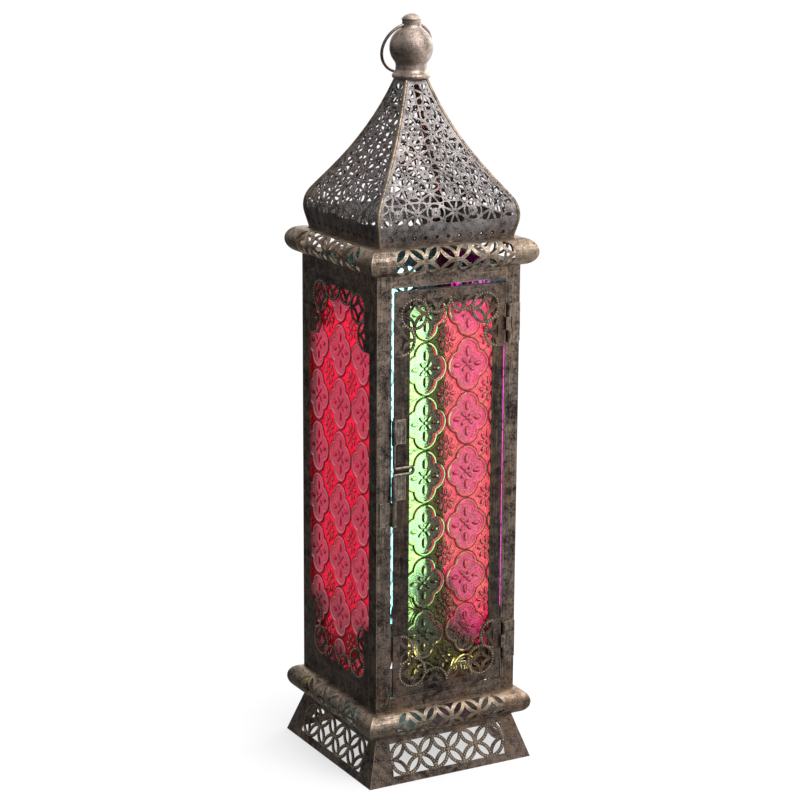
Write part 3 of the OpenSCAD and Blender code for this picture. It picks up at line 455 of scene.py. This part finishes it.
def pressed_pane(name, lo, hi, middle, shown, settings, shade_side):
    """A closed pane drawn for the front: relief on its outer face, flat behind. Sizes in metres.

    The relief fills shown, which is its left, right, low and high limit. A third attribute marks the slopes
    that take painted shade:
    slopes that face down, and slopes that face left where the side argument is 1, or right where it is -1.
    """
    bead_height, darkest_slope = 0.65, 0.45
    step = settings.mesh_step
    xs = stepped(lo[0], hi[0], shown[0], shown[1], step)
    zs = stepped(lo[2], hi[2], shown[2], shown[3], step)
    x, z = np.meshgrid(xs, zs)
    pitch = (settings.pitch_across / MM, settings.pitch_up / MM)
    lines, beads, rim = motif_relief((x - middle[0]) / MM, (z - middle[1]) / MM, pitch)
    high = np.maximum(lines, bead_height * beads ** 2)
    high[0] = high[-1] = high[:, 0] = high[:, -1] = 0.0
    # the slopes of the relief, and painted shade on those that face down and away from the light
    rise, run = np.gradient((1.8 * beads + 0.8 * lines) * settings.relief, step)
    shade_flank = np.clip((0.8 * shade_side * run + 0.6 * rise) / darkest_slope, 0.0, 1.0)
    shade_flank[:2] = shade_flank[-2:] = shade_flank[:, :2] = shade_flank[:, -2:] = 0.0
    y = lo[1] + settings.relief * (1.0 - high)
    rows, columns = x.shape
    front = np.stack([x, y, z], -1).reshape(-1, 3)
    index = np.arange(rows * columns).reshape(rows, columns)
    quads = np.stack([index[:-1, :-1], index[:-1, 1:], index[1:, 1:], index[1:, :-1]], -1).reshape(-1, 4)
    # the rim's points once round, and the same again on the flat back
    loop = np.concatenate([index[0, :-1], index[:-1, -1], index[-1, :0:-1], index[:0:-1, 0]])
    back = front[loop].copy()
    back[:, 1] = hi[1]
    behind = len(front) + np.arange(len(loop))
    wall = np.stack([np.roll(loop, -1), loop, behind, np.roll(behind, -1)], -1)
    faces = quads.tolist() + wall.tolist() + [behind[::-1].tolist()]
    mesh = bpy.data.meshes.new(name)
    mesh.from_pydata(np.concatenate([front, back]).tolist(), [], faces)
    smooth = np.zeros(len(faces), bool)
    smooth[:len(quads)] = True
    mesh.polygons.foreach_set("use_smooth", smooth)
    outside = 9.0
    for label, values, on_back in (("rim", rim, outside), ("shade_flank", shade_flank, 0.0), ("bead", beads, 0.0)):
        held = mesh.attributes.new(label, "FLOAT", "POINT")
        everywhere = np.append(values.ravel(), np.full(len(loop), on_back))
        held.data.foreach_set("value", everywhere.astype(np.float32))
    mesh.update()
    return mesh


# Stamped dots along the straps, by Geometry Nodes

def dot_tree():
    """Dots set along the edges of a mesh, pointing along its own attribute named out."""
    tree = bpy.data.node_groups.new("strap_dots", "GeometryNodeTree")
    face = tree.interface
    face.new_socket("Geometry", in_out="INPUT", socket_type="NodeSocketGeometry")
    for label in ("Pitch", "Radius", "Height"):
        face.new_socket(label, in_out="INPUT", socket_type="NodeSocketFloat")
    face.new_socket("Material", in_out="INPUT", socket_type="NodeSocketMaterial")
    face.new_socket("Geometry", in_out="OUTPUT", socket_type="NodeSocketGeometry")
    start = tree.nodes.new("NodeGroupInput")
    end = tree.nodes.new("NodeGroupOutput")

    def node(kind, settings=None, inputs=None):
        made = tree.nodes.new(kind)
        for key, value in (settings or {}).items():
            setattr(made, key, value)
        for key, value in (inputs or {}).items():
            if isinstance(value, bpy.types.NodeSocket):
                tree.links.new(value, made.inputs[key])
            else:
                made.inputs[key].default_value = value
        return made

    line = node("GeometryNodeMeshToCurve", None, {"Mesh": start.outputs["Geometry"]})
    spaced = node("GeometryNodeResampleCurve", {"mode": "LENGTH"}, {
        "Curve": line.outputs["Curve"], "Length": start.outputs["Pitch"]})
    outward = node("GeometryNodeInputNamedAttribute", {"data_type": "FLOAT_VECTOR"}, {"Name": "out"})
    facing = node("FunctionNodeAlignRotationToVector", {"axis": "Z"}, {
        "Vector": outward.outputs["Attribute"]})
    ball = node("GeometryNodeMeshUVSphere", None, {"Segments": 7, "Rings": 5, "Radius": 1.0})
    smooth = node("GeometryNodeSetShadeSmooth", None, {"Geometry": ball.outputs["Mesh"]})
    size = node("ShaderNodeCombineXYZ", None, {
        "X": start.outputs["Radius"], "Y": start.outputs["Radius"], "Z": start.outputs["Height"]})
    placed = node("GeometryNodeInstanceOnPoints", None, {
        "Points": spaced.outputs["Curve"], "Instance": smooth.outputs["Geometry"],
        "Rotation": facing.outputs["Rotation"], "Scale": size.outputs["Vector"]})
    real = node("GeometryNodeRealizeInstances", None, {"Geometry": placed.outputs["Instances"]})
    painted = node("GeometryNodeSetMaterial", None, {
        "Geometry": real.outputs["Geometry"], "Material": start.outputs["Material"]})
    tree.links.new(painted.outputs["Geometry"], end.inputs["Geometry"])
    return tree


def grown(name, points, edges, outs, tree, values):
    """Runs the tree on a mesh of lines and returns the plain mesh that it makes."""
    lines = bpy.data.meshes.new(name + "_lines")
    lines.from_pydata(points, edges, [])
    held = lines.attributes.new("out", "FLOAT_VECTOR", "POINT")
    held.data.foreach_set("vector", np.array(outs, np.float32).ravel())
    carrier = bpy.data.objects.new(name + "_lines", lines)
    bpy.context.scene.collection.objects.link(carrier)
    modifier = carrier.modifiers.new("dots", "NODES")
    modifier.node_group = tree
    for item in tree.interface.items_tree:
        if item.in_out == "INPUT" and item.name in values:
            modifier[item.identifier] = values[item.name]
    graph = bpy.context.evaluated_depsgraph_get()
    made = bpy.data.meshes.new_from_object(carrier.evaluated_get(graph), depsgraph=graph)
    bpy.data.objects.remove(carrier)
    bpy.data.meshes.remove(lines)
    made.name = name
    return made


def on_circle(centre, radius, degrees):
    """A point of a circle in a sheet's own plane."""
    a = math.radians(degrees)
    return centre[0] + radius * math.cos(a), centre[1] + radius * math.sin(a)


def arc(centre, radius, start, end):
    """Points of an arc in a sheet's own plane, in mm and degrees, 6 degrees apart."""
    return [on_circle(centre, radius, a) for a in np.linspace(start, end, int((end - start) / 6) + 1)]


class Lines:
    """Arcs gathered from several sheets, with the direction that each sheet faces."""

    def __init__(self):
        self.points, self.edges, self.outs = [], [], []

    def add(self, arcs, matrix):
        """Adds arcs drawn in a sheet's plane. The matrix's third column is the way the sheet faces."""
        out = (matrix.to_3x3() @ Vector((0, 0, 1))).normalized()
        for path in arcs:
            first = len(self.points)
            self.points += [tuple(matrix @ Vector((x * MM, y * MM, 0))) for x, y in path]
            self.outs += [tuple(out)] * len(path)
            self.edges += [(first + k, first + k + 1) for k in range(len(path) - 1)]

    def grow(self, name, tree, settings, material):
        """The plain mesh of dots along these arcs."""
        values = {
            "Pitch": settings.pitch, "Radius": settings.radius, "Height": settings.height,
            "Material": material}
        return grown(name, self.points, self.edges, self.outs, tree, values)


def sheet_matrix(number, at, lean):
    """Plane of a front sheet: across, up along the sheet, and outwards, turned to a side."""
    up = Vector((0, math.sin(lean), math.cos(lean)))
    across = Vector((1, 0, 0))
    out = across.cross(up)
    return side_turn(number) @ placed_axes(across, up, out, at)


# Operators

class LANTERN_OT_metal(bpy.types.Operator):
    """Gives every metal node its own aged finish"""
    bl_idname = "lantern.metal"
    bl_label = "Aged metal"

    def execute(self, context):
        s = context.scene.lantern_metal
        patina, bronze, gold, silver = (tuple(c) for c in (s.patina, s.bronze, s.gold, s.silver))
        dull_bronze, black_bronze = (tuple(c * share for c in bronze) for share in (0.85, 0.4))
        upright, level, all_round = (1100.0, 1100.0, 45.0), (45.0, 1100.0, 1100.0), (420.0, 420.0, 420.0)
        # the roof's row of holes, with painted shade round each
        punched = (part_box("roof_panel_front")[0].z + s.punch_height, s.punch_pitch)
        finishes = {
            "post": aged_metal("post_patina", patina, bronze, gold, upright, rub=1.5, edge=0.0009),
            "door": aged_metal("door_patina", patina, black_bronze, gold, upright, rub=0.6, rust=0.3),
            "rail": aged_metal("rail_patina", patina, bronze, gold, level),
            "stamped": aged_metal(
                "stamped_patina", patina, dull_bronze, gold, all_round, dots=900.0, edge=0.0004),
            "moulding": aged_metal(
                "rubbed_gold", (0.07, 0.055, 0.043), (0.42, 0.33, 0.25), (0.68, 0.54, 0.41), level,
                rub=0.9, rough=(0.36, 0.55)),
            "roof": aged_metal(
                "silvered_sheet", (0.04, 0.034, 0.034), (0.29, 0.262, 0.255), silver, all_round,
                rub=0.9, edge=0.0004, rust=0.15, punched=punched),
            "finial": aged_metal(
                "finial_bronze", (0.15, 0.118, 0.105), (0.54, 0.44, 0.37), (0.68, 0.56, 0.45), all_round,
                rub=0.9, rough=(0.38, 0.55)),
            "dot": aged_metal("rubbed_dots", (0.3, 0.25, 0.19), (0.62, 0.52, 0.39), gold, all_round, rub=0.5),
            "ring": aged_metal("ring_wire", (0.2, 0.17, 0.155), (0.5, 0.43, 0.38), gold, all_round, rub=0.5),
            "hardware": aged_metal(
                "hardware_brown", (0.045, 0.038, 0.034), (0.3, 0.25, 0.21), (0.62, 0.5, 0.38), upright,
                rub=1.7, edge=0.0008),
        }
        starts = {
            "post": ("post",), "door": ("door_stile", "door_rail"), "rail": ("floor", "rail", "glass_clips"),
            "stamped": ("skirt", "valance", "door_valance"), "roof": ("roof_panel",), "finial": ("finial",),
            "moulding": ("lower_moulding", "upper_moulding", "hip_bead"), "ring": ("carry_ring",),
            "hardware": ("hinge", "latch")}
        for node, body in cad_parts.items():
            if node in PANES:
                continue
            found = [finishes[kind] for kind, names in starts.items() if node.startswith(names)]
            if len(found) != 1:
                raise RuntimeError(f"{node} has {len(found)} finishes")
            body.data.materials.clear()
            body.data.materials.append(found[0])
        return {"FINISHED"}


class LANTERN_OT_panes(bpy.types.Operator):
    """Makes the four pressed panes with their lobed motifs and daisies"""
    bl_idname = "lantern.panes"
    bl_label = "Pressed panes"

    def execute(self, context):
        s = context.scene.lantern_panes
        # how far the relief goes under the posts and the stiles, and how far it stays from the pane's ends
        under_post, under_stile, low_margin, high_margin = 1.0 * MM, 1.5 * MM, 10.0 * MM, 7.0 * MM
        # the middle of one motif, across and up
        fixed_motif, door_motif = (-0.0009, 0.257), (0.0156, 0.2885)
        # glow is each pane's painted glow, strongest on the ruby
        finishes = {
            "glass_left": pressed_glass(
                "ruby_pressed", tuple(s.ruby), frosted=(0.6, 0.02, 0.08), haze=(1.0, 0.6, 0.7),
                share=0.62, glow=0.08),
            "glass_back": pressed_glass(
                "turquoise_pressed", tuple(s.turquoise), frosted=(0.5, 0.88, 0.92), haze=(0.7, 0.92, 0.92),
                share=0.05, glow=0.01),
            "glass_right": pressed_glass(
                "magenta_pressed", tuple(s.magenta), frosted=(0.55, 0.008, 0.36), haze=(0.6, 0.03, 0.4),
                share=0.05, glow=0.01),
            "door_glass": pressed_glass(
                "amber_pressed", tuple(s.amber), frosted=(0.86, 0.86, 0.66), haze=(0.46, 0.38, 0.3),
                share=0.07, glow=0.0),
        }
        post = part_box("post_front_left")[1].x
        for side in SIDES[1:]:
            node, number = "glass_" + side, SIDES.index(side)
            lo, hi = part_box(node)
            half, inner, outer = side_spans(node, number)
            shown = (post - under_post, under_post - post, lo.z + low_margin, hi.z - high_margin)
            low, high = Vector((-half, -outer, lo.z)), Vector((half, -inner, hi.z))
            # the left pane takes its painted shade on slopes that face right
            shade_side = -1 if side == "left" else 1
            mesh = pressed_pane(node + "_pressed", low, high, fixed_motif, shown, s, shade_side)
            mesh.transform(side_turn(number))
            pane = add_piece("pane_" + side, mesh, finishes[node], "lantern")
            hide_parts(node)
        lo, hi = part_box("door_glass")
        left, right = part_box("door_stile_latch")[1].x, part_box("door_stile_hinge")[0].x
        shown = (left - under_stile, right + under_stile, lo.z + high_margin, hi.z - high_margin)
        mesh = pressed_pane("door_glass_pressed", lo, hi, door_motif, shown, s, shade_side=1)
        pane = add_piece("pane_door", mesh, finishes["door_glass"], "door")
        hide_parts("door_glass")
        return {"FINISHED"}


class LANTERN_OT_dots(bpy.types.Operator):
    """Sets rows of stamped dots along the straps of the skirt and the valances"""
    bl_idname = "lantern.dots"
    bl_label = "Stamped dots"

    def execute(self, context):
        s = context.scene.lantern_dots
        tree = dot_tree()
        material = bpy.data.materials["rubbed_dots"]
        # the skirt: four circles on each sloping sheet, and half circles above and below their joints
        sheet, close = corners("skirt_front"), 0.1 * MM
        upper, lower = sheet[sheet[:, 2] > sheet[:, 2].max() - close], sheet[sheet[:, 2] < close]
        height, top_y, foot_y = upper[0, 2], upper[:, 1].min(), lower[:, 1].min()
        pitch = s.skirt_pitch / MM
        radius = pitch / 2
        arcs = [arc((k * pitch, 0), radius, 0, 360) for k in (-1.5, -0.5, 0.5, 1.5)]
        gap = 6  # degrees that a half circle stops short of the sheet's edge
        for k in (-1, 0, 1):
            arcs.append(arc((k * pitch, radius), radius, 180 + gap, 360 - gap))
            arcs.append(arc((k * pitch, -radius), radius, gap, 180 - gap))
        skirt = Lines()
        for number in range(4):
            middle = (0, (foot_y + top_y) / 2, height / 2)
            skirt.add(arcs, sheet_matrix(number, middle, math.atan2(top_y - foot_y, height)))
        # the valances: three circles down each half of the sheet
        r = s.valance_radius / MM
        first = (r, -s.valance_drop / MM)
        second = on_circle(first, 2 * r, -30)
        third = on_circle(second, 2 * r, -60)
        gap = 4
        arcs = [arc(first, r, 180 + gap, 360 - gap), arc(second, r, -90, 270), arc(third, r, 90 + gap, 262)]
        arcs += [[(-x, y) for x, y in path] for path in arcs]
        fixed, door = Lines(), Lines()
        sheets = [(f"valance_{side}", SIDES.index(side), fixed) for side in SIDES[1:]]
        sheets.append(("door_valance", 0, door))
        for start, number, lines in sheets:
            for end, down in (("top", 1), ("bottom", -1)):
                node = f"{start}_{end}"
                lo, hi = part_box(node)
                across = (lo.x + hi.x) / 2 if lines is door else 0.0
                place = (across, -side_spans(node, number)[2], hi.z if end == "top" else lo.z)
                paths = [[(x, y * down) for x, y in path] for path in arcs]
                lines.add(paths, sheet_matrix(number, place, 0.0))
        for name, lines, body in (
                ("skirt_dots", skirt, "lantern"), ("valance_dots", fixed, "lantern"),
                ("door_valance_dots", door, "door")):
            add_piece(name, lines.grow(name, tree, s, material), material, body)
        return {"FINISHED"}


class LANTERN_OT_stage(bpy.types.Operator):
    """Makes the pale floor, the soft studio light and the camera"""
    bl_idname = "lantern.stage"
    bl_label = "Studio"

    def execute(self, context):
        s = context.scene.lantern_stage
        scene = context.scene
        scene.view_settings.view_transform = "Standard"
        # the floor curves up behind the lantern
        near, bend, curve, top, half_width = -6.0, 2.2, 1.5, 6.0, 9.0
        profile = [(near, 0.0), (bend, 0.0)]
        for turn in np.linspace(0.1, math.pi / 2, 24):
            profile.append((bend + curve * math.sin(turn), curve - curve * math.cos(turn)))
        profile.append((bend + curve, top))
        points = [(x, y, z) for y, z in profile for x in (-half_width, half_width)]
        faces = [(2 * k, 2 * k + 1, 2 * k + 3, 2 * k + 2) for k in range(len(profile) - 1)]
        mesh = bpy.data.meshes.new("studio_floor")
        mesh.from_pydata(points, [], faces)
        mesh.polygons.foreach_set("use_smooth", [True] * len(faces))
        mesh.materials.append(pale_surface("studio_pale", tuple(s.floor), share=0.82, through=s.through))
        floor = bpy.data.objects.new("studio_floor", mesh)
        scene.collection.objects.link(floor)
        scene.world = pale_world("studio_world", s.ambient, s.through)
        aim = Vector((0, 0, s.aim_height))
        for name, place, size, power in (
                ("key", (0.3, -1.05, 1.25), 0.8, 15.0),
                ("top", (0.2, -0.1, 1.5), 0.9, 4.0),
                ("rim", (1.4, 0.4, 0.9), 0.8, 7.0)):
            data = bpy.data.lights.new("studio_" + name, "AREA")
            data.shape = "SQUARE"
            data.size = size
            data.energy = power
            lamp = bpy.data.objects.new("studio_" + name, data)
            scene.collection.objects.link(lamp)
            lamp.location = place
            lamp.rotation_euler = (aim - Vector(place)).to_track_quat("-Z", "Y").to_euler()
        # the camera stands back from what it looks at, level, and is then rolled
        a, e = s.azimuth, s.elevation
        back = Vector((math.sin(a) * math.cos(e), -math.cos(a) * math.cos(e), math.sin(e)))
        level = (-back).cross(Vector((0, 0, 1))).normalized()
        upright = level.cross(-back)
        right = level * math.cos(s.roll) + upright * math.sin(s.roll)
        up = upright * math.cos(s.roll) - level * math.sin(s.roll)
        lens = bpy.data.cameras.new("studio_camera")
        lens.sensor_width = 36.0
        lens.lens = s.focal
        # the photo's frame is this many pixels off the middle of the lens
        lens.shift_x, lens.shift_y = -9.0 / PHOTO_WIDTH, -8.7 / PHOTO_WIDTH
        lens.clip_start, lens.clip_end = 0.05, 50.0
        camera = bpy.data.objects.new("studio_camera", lens)
        scene.collection.objects.link(camera)
        camera.matrix_world = placed_axes(right, up, back, aim + back * s.distance)
        scene.camera = camera
        return {"FINISHED"}


class LANTERN_PT_panel(bpy.types.Panel):
    """Lists the lantern's operators"""
    bl_idname = "LANTERN_PT_panel"
    bl_label = "Lantern"
    bl_space_type = "VIEW_3D"
    bl_region_type = "UI"
    bl_category = "Lantern"

    def draw(self, context):
        for kind in OPERATORS:
            self.layout.operator(kind.bl_idname)


OPERATORS = (LANTERN_OT_metal, LANTERN_OT_panes, LANTERN_OT_dots, LANTERN_OT_stage)
SETTINGS = {
    "lantern_panes": PaneSettings, "lantern_metal": MetalSettings, "lantern_dots": DotSettings,
    "lantern_stage": StageSettings}


def register():
    for kind in (*SETTINGS.values(), *OPERATORS, LANTERN_PT_panel):
        bpy.utils.register_class(kind)
    for name, kind in SETTINGS.items():
        setattr(bpy.types.Scene, name, bpy.props.PointerProperty(type=kind))


def unregister():
    for name in SETTINGS:
        delattr(bpy.types.Scene, name)
    for kind in (LANTERN_PT_panel, *reversed(OPERATORS), *SETTINGS.values()):
        bpy.utils.unregister_class(kind)


def main():
    register()
    bpy.ops.lantern.metal()
    bpy.ops.lantern.panes()
    bpy.ops.lantern.dots()
    bpy.ops.lantern.stage()


if __name__ == "__main__":
    main()
